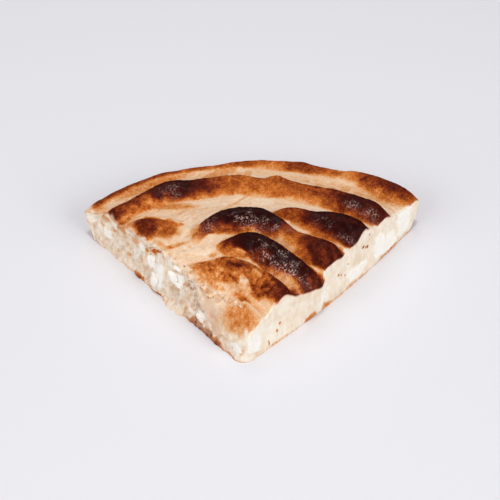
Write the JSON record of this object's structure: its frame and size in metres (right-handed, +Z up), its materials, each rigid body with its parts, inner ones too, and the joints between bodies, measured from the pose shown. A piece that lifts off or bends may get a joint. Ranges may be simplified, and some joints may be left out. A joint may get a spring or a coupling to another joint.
{
  "type": "cheese burek slice",
  "caption": "Cut slice of round baked burek: ridged browned filo crust and base folded round a white cheese filling. Food that lies flat on a surface.",
  "frame": {"origin": "middle of the footprint, on the flat base", "axes": "+Z up, -Y towards the tip of the slice, +Y towards the round rim, +X to the right along the rim"},
  "size_m": [0.2353, 0.1712, 0.0454],
  "materials": {
    "baked_pastry": "browned flaky filo, satin where it is oiled",
    "white_cheese": "moist crumbly curd and pale dough"
  },
  "bodies": {
    "root": {"pastry_shell": "baked_pastry", "cheese_filling": "white_cheese"}
  },
  "joints": []
}
